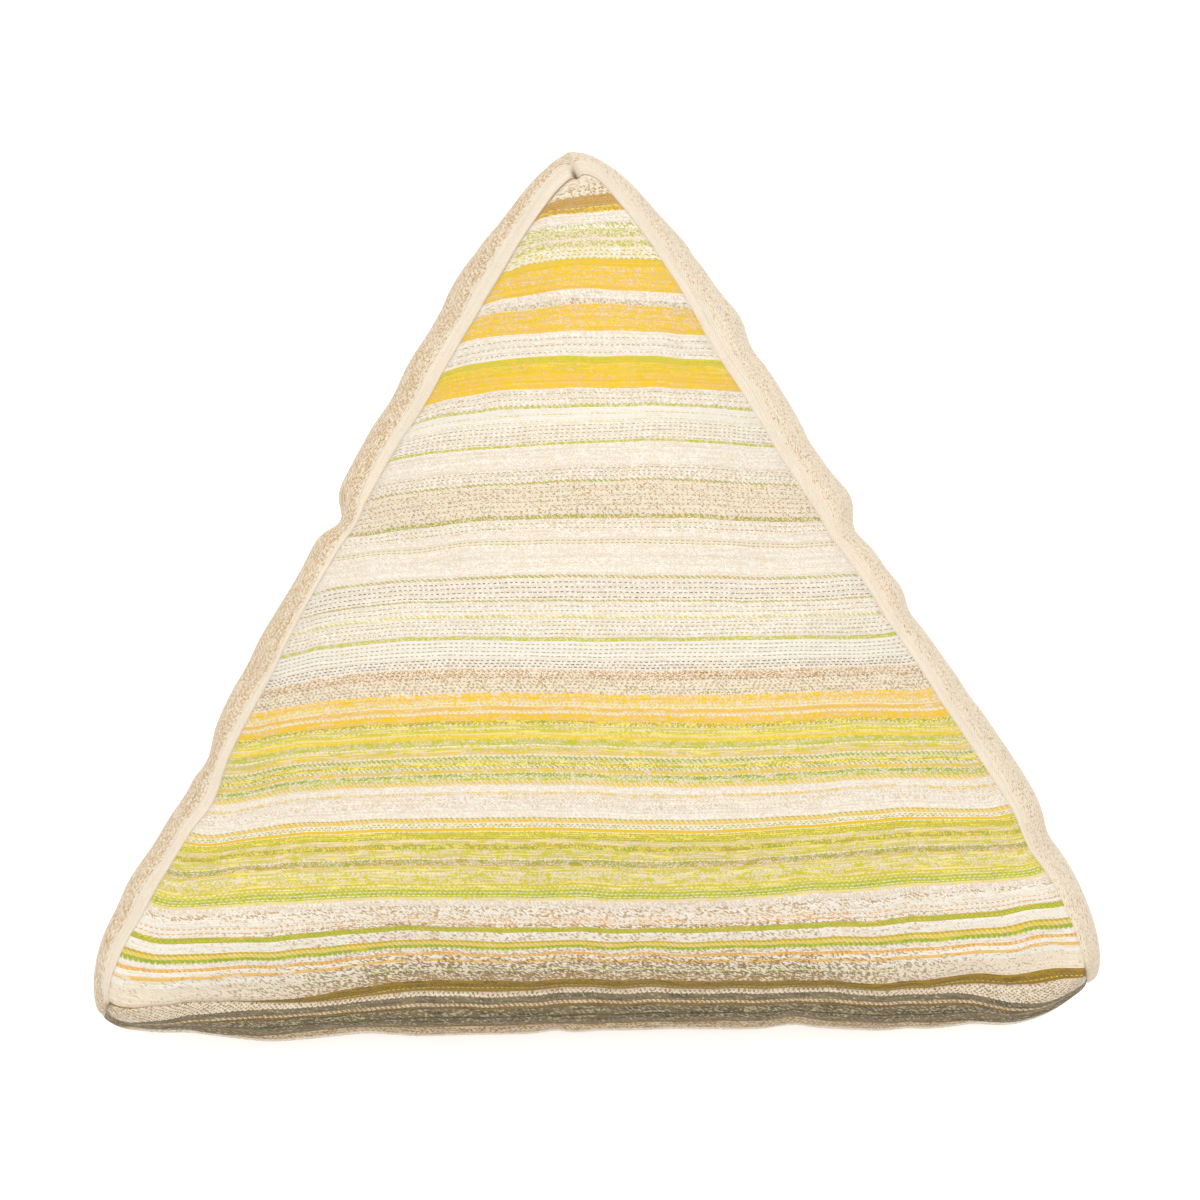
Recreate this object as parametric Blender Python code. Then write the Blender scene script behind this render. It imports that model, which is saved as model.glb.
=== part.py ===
"""Triangle throw pillow: one filled cushion that lies on its back, front panel up.

A maker cuts two triangles and three boxing strips and sews them along two seam
loops and three short corner seams. Filled, both panels crown, the boxing bulges
outward between its seams, and the seams lie in shallow valleys between them.

Units are metres, +Z is up and +Y runs from the bottom side to the apex.
"""
import math
from typing import NamedTuple

import bmesh
import bpy
import numpy as np

# Driving sizes
SIDE = 0.457              # side of the straight triangle that the seams bow out from
SEAM_GAP = 0.048          # front seam to back seam, halfway along a side
CORNER_GAP = 0.008        # extra seam to seam height at the corners, where the boxing is flatter
FRONT_CROWN = 0.042       # how high the front panel stands over its seams
BACK_CROWN = 0.040        # the same at the back, before the floor flattens it
CROWN_POWER = 0.54        # under 1 the crown rises steeply from the seams and is flat on top
REST_DEPTH = 0.007        # how much of the back crown is pressed flat where it rests
REST_BLEND = 0.006        # height over which the flat spot rounds into the back panel
BOXING_ARC = math.radians(78.0)   # half the angle that the boxing's round turns through
NOTCH_RISE = 0.014        # length along the seam over which notches and folds grow from a corner
TUCK_WIDTH = 0.005        # half width of the dent along a short corner seam
CORNER_TURN = 0.022       # length over which the boxing turns round a corner
CORNER_REACH = 0.034      # length over which a drawn-in corner still moves the seam
PUCKER_REACH = 0.034      # how far a pucker runs from the seam into a panel
PUCKER_RISE = 0.012       # how far from the seam a pucker's trough is deepest
FOLD_PLACE = 0.50         # where the fold lies across the boxing, from the front seam to the back
FOLD_WIDTH = 0.13

# Mesh density
PANEL_STEPS = 20          # steps along half a side, and from a seam to the panel's middle
BOXING_STEPS = 8          # steps from the front seam to the back seam
GRADING = 1.25            # over 1 the steps are finer near the seams and corners

# Cloth, as a plain colour
CLOTH_COLOUR = (0.74, 0.66, 0.42, 1.0)
CLOTH_ROUGHNESS = 0.95


class Corner(NamedTuple):
    """A seam corner, where the side before it ends and the side after it starts.

    Its shift from the straight triangle's own corner, the boxing's bulge there, the
    share of it that the short corner seam tucks in, and how that seam leans, in
    degrees anticlockwise. Then the lengths over which the seam's bow and the
    boxing's bulge grow from the corner, for the side before and the side after.
    """
    name: str
    shift_x: float
    shift_y: float
    bulge: float
    tuck: float
    lean: float
    bow_before: float
    bow_after: float
    bulge_before: float
    bulge_after: float


class Section(NamedTuple):
    """A place along a side, as a share of it, with the seam's bow and the boxing's bulge there."""
    place: float
    bow: float
    bulge: float


class Pucker(NamedTuple):
    """A place where the stitching draws the seam in, or lets it out where the pull is negative.

    The share of the side, the pull, its half width, and the share of the boxing's
    bulge that is held back there.
    """
    side: int
    place: float
    pull: float
    width: float
    notch: float


CORNERS = (
    Corner("bottom_left", -0.0073, -0.0087, 0.0080, 0.22, 16.0, 0.012, 0.012, 0.012, 0.016),
    Corner("bottom_right", 0.0026, -0.0118, 0.0030, 0.10, 0.0, 0.030, 0.020, 0.014, 0.005),
    Corner("apex", 0.0020, -0.0066, 0.0202, 0.08, 12.0, 0.006, 0.012, 0.014, 0.014),
)
# The three sides run anticlockwise: bottom, right and left, each from its own corner to the next
SECTIONS = (
    (
        Section(0.05, 0.0064, 0.0125),
        Section(0.16, 0.0100, 0.0192),
        Section(0.30, 0.0092, 0.0198),
        Section(0.45, 0.0086, 0.0208),
        Section(0.80, 0.0125, 0.0190),
        Section(0.94, 0.0135, 0.0200),
    ),
    (
        Section(0.08, 0.0098, 0.0140),
        Section(0.19, 0.0108, 0.0166),
        Section(0.38, 0.0096, 0.0152),
        Section(0.58, 0.0080, 0.0190),
        Section(0.72, 0.0088, 0.0202),
        Section(0.85, 0.0104, 0.0178),
        Section(0.95, 0.0078, 0.0148),
    ),
    (
        Section(0.05, 0.0074, 0.0184),
        Section(0.13, 0.0066, 0.0210),
        Section(0.22, 0.0090, 0.0200),
        Section(0.41, 0.0114, 0.0186),
        Section(0.53, 0.0115, 0.0150),
        Section(0.75, 0.0100, 0.0158),
        Section(0.92, 0.0088, 0.0170),
    ),
)
# How deep the fold along each side's boxing is
FOLD_DEPTH = (0.0035, 0.0, 0.0)
PUCKERS = (
    Pucker(0, 0.20, -0.0010, 0.022, 0.00),
    Pucker(0, 0.31, 0.0022, 0.026, 0.00),
    Pucker(0, 0.46, 0.0014, 0.010, 0.06),
    Pucker(0, 0.70, 0.0010, 0.010, 0.05),
    Pucker(0, 0.81, -0.0020, 0.020, 0.00),
    Pucker(0, 0.89, 0.0006, 0.011, 0.14),
    Pucker(0, 0.975, 0.0040, 0.014, 0.00),
    Pucker(1, 0.125, 0.0026, 0.012, 0.04),
    Pucker(1, 0.41, 0.0008, 0.009, 0.18),
    Pucker(1, 0.515, 0.0012, 0.009, 0.20),
    Pucker(1, 0.75, 0.0008, 0.012, 0.05),
    Pucker(2, 0.31, 0.0008, 0.012, 0.06),
    Pucker(2, 0.455, 0.0016, 0.007, 0.42),
    Pucker(2, 0.56, -0.0010, 0.028, 0.00),
    Pucker(2, 0.748, 0.0004, 0.012, 0.20),
    Pucker(2, 0.788, 0.0044, 0.015, -0.04),
    Pucker(2, 0.85, 0.0008, 0.012, 0.05),
)

INRADIUS = SIDE / (2 * math.sqrt(3))
ALTITUDE = 3 * INRADIUS
TRIANGLE = np.array([[-SIDE / 2, -INRADIUS], [SIDE / 2, -INRADIUS], [0.0, 2 * INRADIUS]])
ALONG = (np.roll(TRIANGLE, -1, axis=0) - TRIANGLE) / SIDE
OUTWARD = np.stack([ALONG[:, 1], -ALONG[:, 0]], axis=1)
SHIFT = np.array([[c.shift_x, c.shift_y] for c in CORNERS])


def fade(x):
    """1 at a seam and 0 at the far end of its patch, level at both."""
    return (1 - x) ** 2 * (1 + 2 * x)


def bell(x):
    """A smooth hump, 1 at 0 and nearly 0 past 2."""
    return np.exp(-x * x)


def between_sections(side, place, column):
    """A column of the side's table, carried smoothly from each section to the next."""
    rows = SECTIONS[side]
    value = np.full_like(place, getattr(rows[0], column))
    for near, far in zip(rows[:-1], rows[1:]):
        share = np.clip((place - near.place) / (far.place - near.place), 0.0, 1.0)
        value += (getattr(far, column) - getattr(near, column)) * (1 - fade(share))
    return value


def corner_share(distance):
    """How much of a drawn-in corner is felt at a distance along the seam."""
    return bell(distance / CORNER_REACH)


def seam_shift(side, place):
    """How far the seam lies from the straight side, without its puckers."""
    start = place * SIDE
    end = SIDE - start
    first_rise, last_rise = CORNERS[side].bow_after, CORNERS[(side + 1) % 3].bow_before
    rise = (1 - np.exp(-start / first_rise)) * (1 - np.exp(-end / last_rise))
    bow = (between_sections(side, place, "bow") * rise)[..., None] * OUTWARD[side]
    first = corner_share(start)[..., None] * SHIFT[side]
    second = corner_share(end)[..., None] * SHIFT[(side + 1) % 3]
    ends = first * fade(place)[..., None] + second * fade(1 - place)[..., None]
    return bow + ends


def pucker_shift(flat):
    """How far the puckers draw points of a flat panel inward, and how far they sink it."""
    shift = np.zeros_like(flat)
    drop = np.zeros(flat.shape[:-1])
    for pucker in PUCKERS:
        from_corner = flat - TRIANGLE[pucker.side]
        along = from_corner @ ALONG[pucker.side]
        inward = np.maximum(-(from_corner @ OUTWARD[pucker.side]), 0.0)
        width = pucker.width * (1 + inward / PUCKER_REACH)
        strength = bell((along - pucker.place * SIDE) / width) * np.exp(-inward / PUCKER_REACH)
        shift -= (pucker.pull * strength)[..., None] * OUTWARD[pucker.side]
        drop += max(pucker.pull, 0.0) * strength
    nearest = np.min(side_distances(flat), axis=0)
    return shift, drop * np.minimum(nearest / PUCKER_RISE, 1.0)


def side_distances(flat):
    """Distance of each point of the flat triangle from each of its three sides."""
    return [np.maximum(-((flat - TRIANGLE[k]) @ OUTWARD[k]), 0.0) for k in range(3)]


def seam_height(flat):
    """Half the seam to seam height, larger near the corners."""
    nearest = np.min([np.linalg.norm(flat - c, axis=-1) for c in TRIANGLE], axis=0)
    return SEAM_GAP / 2 + CORNER_GAP / 2 * bell(nearest / (2 * CORNER_REACH))


def crown(flat):
    """Height share of a panel: the product of the distances to the sides, to a power under 1."""
    product = np.prod(side_distances(flat), axis=0)
    return (27 * product / ALTITUDE ** 3) ** CROWN_POWER


def press_flat(height):
    """Height over the floor: 0 below it, then a short round, then the height itself."""
    middle = height ** 2 / (4 * REST_BLEND)
    lifted = np.where(height > 2 * REST_BLEND, height - REST_BLEND, middle)
    return np.where(height > 0, lifted, 0.0)


def graded(steps):
    """Shares from 0 to 1, closer together near 0."""
    return np.linspace(0, 1, steps + 1) ** GRADING


def panel_patch(corner, top):
    """One kite of a panel: from a corner to the middles of its two sides and the centroid."""
    share = graded(PANEL_STEPS)
    a, b = np.meshgrid(share, share, indexing="ij")
    here = TRIANGLE[corner]
    next_middle = (here + TRIANGLE[(corner + 1) % 3]) / 2
    last_middle = (here + TRIANGLE[(corner - 1) % 3]) / 2
    centre = TRIANGLE.mean(axis=0)
    a1, b1 = a[..., None], b[..., None]
    flat = ((1 - a1) * (1 - b1) * here + a1 * (1 - b1) * next_middle
            + (1 - a1) * b1 * last_middle + a1 * b1 * centre)
    along_next = seam_shift(corner, a / 2)
    along_last = seam_shift((corner - 1) % 3, 1 - b / 2)
    fade_a, fade_b = fade(a1), fade(b1)
    shift = along_next * fade_b + along_last * fade_a - SHIFT[corner] * fade_a * fade_b
    pucker, drop = pucker_shift(flat)
    place = flat + shift + pucker
    if top:
        height = seam_height(flat) + FRONT_CROWN * crown(flat) - drop
    else:
        height = -seam_height(flat) - BACK_CROWN * crown(flat) + drop
    return np.concatenate([place, height[..., None]], axis=-1)


def boxing_direction(side, place):
    """Which way the boxing bulges: square to the side, turned half way and leaning at each corner."""
    start = bell(place * SIDE / CORNER_TURN)
    end = bell((1 - place) * SIDE / CORNER_TURN)
    before, after = OUTWARD[(side - 1) % 3], OUTWARD[(side + 1) % 3]
    way = OUTWARD[side] + start[..., None] * before + end[..., None] * after
    way /= np.linalg.norm(way, axis=-1, keepdims=True)
    lean = np.radians(CORNERS[side].lean * start + CORNERS[(side + 1) % 3].lean * end)
    x, y = way[..., 0], way[..., 1]
    turned = (x * np.cos(lean) - y * np.sin(lean), x * np.sin(lean) + y * np.cos(lean))
    return np.stack(turned, axis=-1)


def boxing_bulge(side, place):
    """How far the middle of the boxing stands outside its seams."""
    first, last = CORNERS[side], CORNERS[(side + 1) % 3]
    start, end = place * SIDE, (1 - place) * SIDE
    nearest = np.minimum(start, end)
    bulge = between_sections(side, place, "bulge")
    bulge += (first.bulge - bulge) * np.exp(-start / first.bulge_after)
    bulge += (last.bulge - bulge) * np.exp(-end / last.bulge_before)
    tuck = 1 - first.tuck * bell(start / TUCK_WIDTH) - last.tuck * bell(end / TUCK_WIDTH)
    notch = np.zeros_like(place)
    for pucker in PUCKERS:
        if pucker.side == side:
            notch += pucker.notch * bell((place - pucker.place) * SIDE / pucker.width)
    notch *= np.minimum(nearest / NOTCH_RISE, 1.0)
    return bulge * tuck * (1 - notch)


def boxing_strip(side):
    """One boxing strip: an arc from the front seam to the back seam, carried along the side."""
    half = graded(PANEL_STEPS) / 2
    along = np.concatenate([half, 1 - half[-2::-1]])
    place, across = np.meshgrid(along, np.linspace(0, 1, BOXING_STEPS + 1), indexing="ij")
    flat = TRIANGLE[side] + (place * SIDE)[..., None] * ALONG[side]
    pucker, _ = pucker_shift(flat)
    seam = flat + seam_shift(side, place) + pucker
    angle = BOXING_ARC * (1 - 2 * across)
    stands_out = (np.cos(angle) - math.cos(BOXING_ARC)) / (1 - math.cos(BOXING_ARC))
    fold = FOLD_DEPTH[side] * bell((across - FOLD_PLACE) / FOLD_WIDTH)
    away_from_corners = np.minimum(np.minimum(place, 1 - place) * SIDE / NOTCH_RISE, 1.0)
    out = boxing_bulge(side, place) * stands_out - fold * away_from_corners
    height = seam_height(flat) * np.sin(angle) / math.sin(BOXING_ARC)
    xy = seam + out[..., None] * boxing_direction(side, place)
    return np.concatenate([xy, height[..., None]], axis=-1)


def add_grid(build, points):
    """Put a grid of points into the mesh as quads."""
    rows, columns = points.shape[:2]
    verts = [[build.verts.new(points[i, j]) for j in range(columns)] for i in range(rows)]
    for i in range(rows - 1):
        for j in range(columns - 1):
            build.faces.new((verts[i][j], verts[i + 1][j], verts[i + 1][j + 1], verts[i][j + 1]))


def stand_on_floor(mesh):
    """Press the back flat on z = 0 and centre the box on x and y."""
    points = np.empty(len(mesh.vertices) * 3)
    mesh.vertices.foreach_get("co", points)
    points = points.reshape(-1, 3)
    floor = points[:, 2].min() + REST_DEPTH
    points[:, 2] = press_flat(points[:, 2] - floor)
    middle = (points.min(axis=0) + points.max(axis=0)) / 2
    points[:, :2] -= middle[:2]
    mesh.vertices.foreach_set("co", points.ravel())


def cloth_material():
    """Plain woven cloth in the stripe's mean colour."""
    material = bpy.data.materials.new("striped_cloth")
    material.use_nodes = True
    shader = material.node_tree.nodes["Principled BSDF"]
    shader.inputs["Base Color"].default_value = CLOTH_COLOUR
    shader.inputs["Roughness"].default_value = CLOTH_ROUGHNESS
    shader.inputs["Metallic"].default_value = 0.0
    return material


def build_cushion():
    """The filled cushion as one closed body: two panels and three boxing strips sewn edge to edge."""
    build = bmesh.new()
    for corner in range(3):
        add_grid(build, panel_patch(corner, top=True))
        add_grid(build, panel_patch(corner, top=False))
    for side in range(3):
        add_grid(build, boxing_strip(side))
    bmesh.ops.remove_doubles(build, verts=build.verts, dist=0.00002)
    bmesh.ops.recalc_face_normals(build, faces=build.faces)
    mesh = bpy.data.meshes.new("cushion")
    build.to_mesh(mesh)
    build.free()
    stand_on_floor(mesh)
    mesh.shade_smooth()
    mesh.materials.append(cloth_material())
    cushion = bpy.data.objects.new("cushion", mesh)
    bpy.context.scene.collection.objects.link(cushion)
    return cushion


for leftover in list(bpy.data.objects):
    bpy.data.objects.remove(leftover, do_unlink=True)
build_cushion()
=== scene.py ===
"""Looks of the triangle throw pillow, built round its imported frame.

It is sewn from a front panel, a back panel and three boxing strips, all cut from one
striped cloth. Its shape comes from the same tables of seam sections, corners and
puckers as the frame's solid, on a finer grid, and a short cloth simulation fills it.

Units are metres, +Z is up and +Y runs from the bottom side to the apex. The sides run
anticlockwise, each from its own corner: 0 bottom, 1 right, 2 left. In the tables, a
place is a share of a side.
"""
import logging
import math
from dataclasses import dataclass
from enum import Enum
from typing import Callable, Dict, List, Optional, Sequence, Tuple, TypeVar, Union

import bmesh
import bpy
import numpy as np
from mathutils import Matrix, Vector


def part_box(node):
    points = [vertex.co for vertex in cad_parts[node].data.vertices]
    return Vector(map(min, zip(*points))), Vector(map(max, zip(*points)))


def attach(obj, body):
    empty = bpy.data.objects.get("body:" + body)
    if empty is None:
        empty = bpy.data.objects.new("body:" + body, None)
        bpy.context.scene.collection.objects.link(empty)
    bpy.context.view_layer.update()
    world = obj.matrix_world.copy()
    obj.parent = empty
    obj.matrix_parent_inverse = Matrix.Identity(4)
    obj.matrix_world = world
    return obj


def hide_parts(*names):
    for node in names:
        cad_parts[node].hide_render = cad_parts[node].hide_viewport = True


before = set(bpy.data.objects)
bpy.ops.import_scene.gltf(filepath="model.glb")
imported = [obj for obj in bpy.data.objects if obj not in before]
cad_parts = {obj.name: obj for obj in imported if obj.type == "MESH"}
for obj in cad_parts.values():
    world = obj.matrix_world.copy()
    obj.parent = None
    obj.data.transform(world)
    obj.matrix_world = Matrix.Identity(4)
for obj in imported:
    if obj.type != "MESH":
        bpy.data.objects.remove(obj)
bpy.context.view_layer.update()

NODE = "cushion"

Array = np.ndarray
Mesh = bpy.types.Mesh
Object = bpy.types.Object
Row = TypeVar("Row")
log = logging.getLogger("pillow")


class Yarn(Enum):
    """A yarn's colour as it shows in soft daylight (sRGB, 0 to 255).

    Where a yarn's colour drifts along a pick, it goes over to the next one in the list.
    """
    WHITE = (255, 250, 242)
    IVORY = (251, 243, 228)
    CREAM = (245, 231, 206)
    BLUSH = (247, 222, 200)
    BEIGE = (228, 206, 174)
    GREY = (188, 171, 148)
    LICHEN = (196, 200, 146)
    SAGE = (160, 163, 112)
    MOSS = (190, 172, 66)
    LEAF = (158, 180, 54)
    LIME = (198, 202, 44)
    CITRON = (216, 206, 54)
    YELLOW = (250, 231, 108)
    GOLD = (240, 206, 62)
    AMBER = (250, 204, 28)
    PEACH = (245, 198, 112)
    WARP = (246, 222, 192)
    ORANGE = (241, 172, 78)
    BRASS = (206, 160, 74)
    TAN = (207, 172, 116)
    CLAY = (190, 142, 86)
    BROWN = (146, 106, 34)
    BRONZE = (166, 128, 4)
    OLIVE = (120, 98, 10)
    SLATE = (116, 100, 70)
    DARK = (70, 66, 42)


YARNS: List[Yarn] = list(Yarn)


class Pattern(Enum):
    """How a stripe's second yarn comes up over its ground."""
    FLECKS = 0.0
    FLOATS = 0.25
    BLOCKS = 0.5
    DASHES = 1.0


class Draw(Enum):
    """The cloth's random draws, each with its own seed."""
    PAIR = 5.1
    OFFSET = 3.7
    FLOAT = 1.3
    WANDER = 8.1
    STITCH = 2.2
    TONE = 4.4


def entry(word: str) -> Union[Yarn, Pattern, int, float]:
    """A table's entry: a yarn or pattern by its name, or a number, whole or with a point."""
    named = {**Yarn.__members__, **Pattern.__members__}
    if word.upper() in named:
        return named[word.upper()]
    return float(word) if "." in word else int(word)


def table(kind: Callable[..., Row], text: str) -> Tuple[Row, ...]:
    """Read a table.

    Args:
        kind: The dataclass of its rows.
        text: A line of column names, then the rows, which may leave out their last columns.

    Returns:
        The rows.
    """
    columns, *rows = [line.split() for line in text.strip().splitlines()]
    return tuple(kind(**dict(zip(columns, map(entry, row)))) for row in rows)


@dataclass(frozen=True)
class Stripe:
    """A run of picks in a ground yarn, with a second yarn that comes up over part of it.

    With an accent, one pick in so many is in that yarn, laid in dashes.
    """
    picks: int
    ground: Yarn
    fleck: Yarn
    share: float
    pattern: Pattern = Pattern.FLECKS
    accent: Optional[Yarn] = None
    every: int = 0
    accent_share: float = 0.52

    def runs(self) -> List["Run"]:
        """The stripe's runs of like picks."""
        plain = (self.ground, self.fleck, self.share, self.pattern)
        if self.accent is None:
            return [(self.picks, *plain)]
        laid = (1, self.ground, self.accent, self.accent_share, Pattern.DASHES)
        whole, rest = divmod(self.picks, self.every)
        repeat = [(self.every - 1, *plain), laid]
        return repeat * whole + ([(rest, *plain)] if rest else [])


# Number of picks, or the first pick's number, then ground, fleck, share and pattern
Run = Tuple[int, Yarn, Yarn, float, Pattern]

# From the apex down to the bottom seam
FACE_PLAN = table(Stripe, """
picks ground fleck share pattern accent every accent_share
12 cream beige .4
10 cream tan .24 flecks sage 5
11 brass tan .3
1 brass yellow .55 dashes
4 brass gold .36
1 yellow brass .4 dashes
12 ivory cream .4 flecks blush 4
6 ivory lime .35
9 cream lime .48
4 cream blush .45
7 cream lime .5
12 ivory yellow .35 flecks moss 4
8 gold amber .5
19 amber blush .26
7 amber peach .3
10 ivory blush .4
6 cream grey .36
23 amber blush .3
6 amber peach .28
28 ivory cream .4 flecks sage 8
7 lime gold .55
11 amber citron .36
17 amber peach .12
18 ivory blush .35 flecks moss 6
3 lime cream .5
15 ivory white .45 flecks citron 7
21 ivory cream .45 flecks sage 4
3 lime cream .45
24 ivory cream .35
16 ivory blush .5 flecks sage 4
2 cream moss .65 dashes
35 cream tan .13 flecks sage 5
4 moss cream .4
14 ivory blush .35 flecks moss 5
6 ivory cream .4
6 cream ivory .4 flecks moss 3
32 ivory cream .38
3 cream moss .55 dashes
22 ivory cream .4 flecks slate 5
2 cream moss .6 dashes
14 ivory cream .35 flecks sage 5
3 ivory citron .5 dashes
19 ivory cream .35 flecks sage 4
4 lime cream .42
18 ivory white .45 flecks sage 4
11 ivory cream .45 flecks slate 3
10 cream brass .4 flecks clay 3
14 cream tan .2 flecks sage 3
8 amber cream .36
2 cream yellow .45
1 gold cream .4 dashes
2 cream yellow .35
4 peach amber .5 blocks
3 cream gold .4 dashes
7 amber blush .22 blocks
3 yellow moss .45 blocks
1 moss ivory .55 dashes
4 citron blush .34 blocks
1 citron ivory .55 dashes
3 citron yellow .45 blocks
2 yellow cream .5 dashes
4 gold yellow .45 blocks
6 lime blush .4 blocks
1 citron ivory .6 dashes
1 cream yellow .5
4 citron blush .4 blocks
3 gold blush .5 blocks
2 cream citron .4 dashes
3 leaf cream .48 dashes
2 citron cream .48 blocks
1 citron ivory .55 dashes
3 yellow moss .4 blocks
3 cream leaf .45 dashes
4 gold blush .4 blocks
1 cream lime .5 dashes
3 leaf cream .45 blocks
1 lime ivory .55 dashes
3 lime cream .5 blocks
4 gold cream .5 dashes
7 ivory cream .4
3 cream gold .4 blocks
12 ivory blush .35 flecks peach 5 .4
10 ivory cream .4
1 moss cream .45 dashes
3 gold cream .4 dashes
1 peach cream .4
5 ivory yellow .35 flecks leaf 2
3 amber gold .3
1 ivory yellow .5 dashes
7 citron moss .45 flecks yellow 2 .4
5 citron blush .6 blocks
5 moss yellow .5 blocks
9 citron blush .44 blocks
1 citron ivory .6 dashes
6 moss blush .42 blocks
1 peach citron .45 dashes
5 citron blush .44 blocks
1 citron ivory .6 dashes
8 citron cream .46 blocks
1 peach citron .45 dashes
2 citron cream .42 blocks
6 citron yellow .35 flecks ivory 3
7 lime leaf .34 flecks ivory 3 .58
3 yellow cream .55
6 ivory blush .5
10 ivory tan .4 floats
8 ivory orange .34 floats orange 4 .62
3 ivory clay .5 floats
2 moss citron .45 dashes
3 lime moss .5 dashes
9 ivory tan .36 floats
2 moss gold .5 dashes
3 gold cream .36 dashes
3 leaf citron .3 dashes
1 cream leaf .5 dashes
4 ivory tan .44 floats
3 peach orange .5 dashes
4 ivory brown .44 floats
3 peach brown .36 floats
5 ivory brown .54 floats
3 cream olive .52 floats
2 cream leaf .5 floats
4 cream olive .6 floats
9 cream brown .62 floats
5 bronze olive .34 floats
6 bronze olive .45 dashes
2 bronze yellow .45 dashes
11 bronze moss .24 floats
""")

# For the bottom, right and left boxing, from the front seam to the back seam. The bottom strip's darker
# yarns are partly its own grey-olive stripes and partly painted shade of that side
BOXING_PLANS = (
    table(Stripe, """
picks ground fleck share pattern accent every accent_share
30 cream tan .3 flecks olive 2 .42
7 grey slate .84 floats
3 beige brown .5 dashes
3 slate brown .45 dashes
8 slate grey .36 floats
2 dark olive .4
14 slate grey .32 floats
20 beige brown .42 floats brown 3
80 ivory tan .35
"""),
    table(Stripe, """
picks ground fleck share pattern accent every accent_share
14 cream ivory .4
3 cream tan .2 floats
60 cream tan .24 floats brass 4 .3
70 ivory cream .4
"""),
    table(Stripe, """
picks ground fleck share pattern accent every accent_share
15 cream ivory .4
4 cream tan .3 floats
60 cream tan .46 floats brass 3
70 ivory cream .4
"""),
)


@dataclass(frozen=True)
class Corner:
    """A seam corner: its shift from the straight triangle's own, and the boxing's bulge there.

    Then the share of the bulge that the short corner seam tucks in, how that seam leans,
    in degrees anticlockwise, and the lengths over which the seam's bow and the boxing's
    bulge grow from the corner, on the side before and the side after.
    """
    shift_x: float
    shift_y: float
    bulge: float
    tuck: float
    lean: float
    bow_before: float
    bow_after: float
    bulge_before: float
    bulge_after: float


@dataclass(frozen=True)
class Section:
    """A place along a side, with the seam's bow and the boxing's bulge there."""
    side: int
    place: float
    bow: float
    bulge: float


@dataclass(frozen=True)
class Pucker:
    """A place where the stitching draws the seam in: its pull, half width and notch."""
    side: int
    place: float
    pull: float
    width: float
    notch: float


# Bottom left, bottom right and apex
CORNERS = table(Corner, """
shift_x shift_y bulge tuck lean bow_before bow_after bulge_before bulge_after
-.0073 -.0087 .008 .22 16.0 .012 .012 .012 .016
.0026 -.0118 .003 .1 0 .03 .02 .014 .005
-.0014 -.0052 .0194 .08 12.0 .004 .012 .014 .014
""")
SECTIONS = table(Section, """
side place bow bulge
0 .05 .0064 .0125
0 .16 .01 .0192
0 .3 .0092 .0198
0 .45 .0086 .0208
0 .8 .0125 .019
0 .94 .0135 .02
1 .08 .0098 .014
1 .19 .0108 .0166
1 .38 .0096 .0152
1 .58 .008 .019
1 .72 .0088 .0202
1 .85 .0104 .0178
1 .95 .0094 .014
2 .05 .0062 .0158
2 .13 .0074 .0186
2 .22 .009 .02
2 .41 .0114 .0186
2 .53 .0115 .015
2 .75 .01 .0158
2 .92 .0088 .017
""")
PUCKERS = table(Pucker, """
side place pull width notch
0 .2 -.001 .022 0
0 .31 .0022 .026 0
0 .46 .0014 .01 .06
0 .7 .001 .01 .05
0 .81 -.002 .02 0
0 .89 .0006 .011 .14
0 .975 .004 .014 0
1 .125 .0026 .012 .04
1 .41 .0008 .009 .18
1 .515 .0012 .009 .2
1 .75 .0008 .012 .05
2 .31 .0008 .012 .06
2 .455 .0016 .007 .42
2 .56 -.001 .028 0
2 .748 .0004 .012 .2
2 .788 .0044 .015 -.04
2 .85 .0008 .012 .05
""")
# Small gathers of the stitching and swells of the boxing, too small for the solid
GATHERS = table(Pucker, """
side place pull width notch
0 .084 0 .018 -.11
0 .205 0 .022 .13
0 .312 0 .018 -.1
0 .463 0 .01 -.14
0 .59 0 .05 .05
0 .89 0 .016 -.12
1 .424 0 .011 -.2
1 .545 0 .012 -.2
1 .772 0 .012 -.17
2 .153 0 .012 -.08
2 .225 0 .012 .06
2 .55 0 .022 .08
2 .768 0 .008 -.1
2 .835 0 .024 .08
2 .95 0 .016 .06
0 .04 .0008 .005 -.05
0 .075 .0006 .005 -.04
0 .488 .0011 .006 -.05
0 .549 .0013 .007 -.06
0 .64 .0006 .006 -.03
0 .738 .0008 .006 -.04
0 .817 .001 .006 -.02
0 .935 .0006 .005 -.03
1 .3 .0005 .006 .03
1 .62 .0005 .007 .04
1 .86 .0004 .006 .03
2 .2 .0005 .007 .04
2 .64 .0005 .008 .04
2 .92 .0006 .006 .03
""")


@dataclass(frozen=True)
class Side:
    """What sets a side apart.

    Where its boxing's plan starts on the cloth, how far the stripes sag and how deep the
    boxing folds in. Then how dark the painted shade is along the front seam at its first corner,
    middle and last corner, the share over which the corners' shades reach, and the
    depth of the seam's groove.
    """
    start: float
    sag: float
    fold: float
    first: float
    middle: float
    last: float
    reach: float
    groove: float

    def dark(self, place: Array) -> Array:
        """The painted shade's darkness at shares along the side."""
        return (self.middle + (self.first - self.middle) * np.exp(-place / self.reach)
                + (self.last - self.middle) * np.exp((place - 1) / self.reach))


SIDES = table(Side, """
start sag fold first middle last reach groove
.80 .0125 .0045 .78 .76 .74 .10 .0008
.60 0 0 .66 .50 .92 .045 .0002
.70 0 0 .99 .62 .74 .17 .0003
""")


@dataclass(frozen=True)
class Crease:
    """A fold along a boxing strip.

    Its place and half width as shares of the strip's width, its depth and the darkness of the
    painted shade in it, and the length over which it grows from each corner.
    """
    side: int
    place: float
    width: float
    depth: float
    dark: float
    rise: float


@dataclass(frozen=True)
class Wander:
    """A stretch where the boxing's stripes lie nearer to the front seam, by an amount."""
    side: int
    place: float
    amount: float
    width: float


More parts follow.
